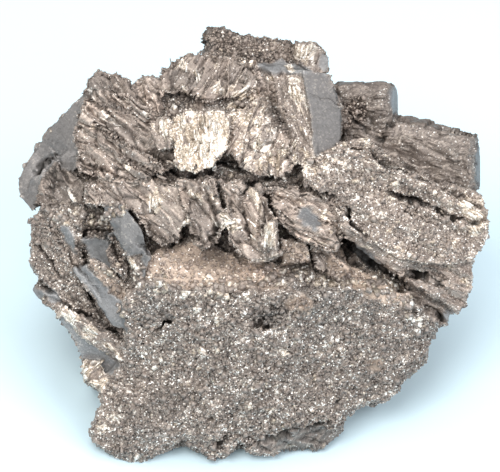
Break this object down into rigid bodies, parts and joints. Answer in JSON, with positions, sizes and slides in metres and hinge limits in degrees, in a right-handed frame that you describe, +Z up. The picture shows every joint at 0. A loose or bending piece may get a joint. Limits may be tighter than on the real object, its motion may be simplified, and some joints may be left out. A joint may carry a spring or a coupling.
{
  "type": "manganite specimen",
  "caption": "Cabinet mineral specimen of manganite: an intergrown mass of striated prisms, plates and sheaves around a sugary, fine-grained block.",
  "frame": {"origin": "centre of the bounding box's bottom, on the plane of the broken base that the specimen rests on", "axes": "+X across the show face to its right, +Y to the back, +Z up; the show face leans back and faces -Y and up"},
  "size_m": [0.0802, 0.0636, 0.0529],
  "materials": {
    "manganite": "submetallic steel-grey, sugary where fine-grained and bright on fresh cleavage"
  },
  "bodies": {
    "root": {"manganite_specimen": "manganite"}
  },
  "joints": []
}
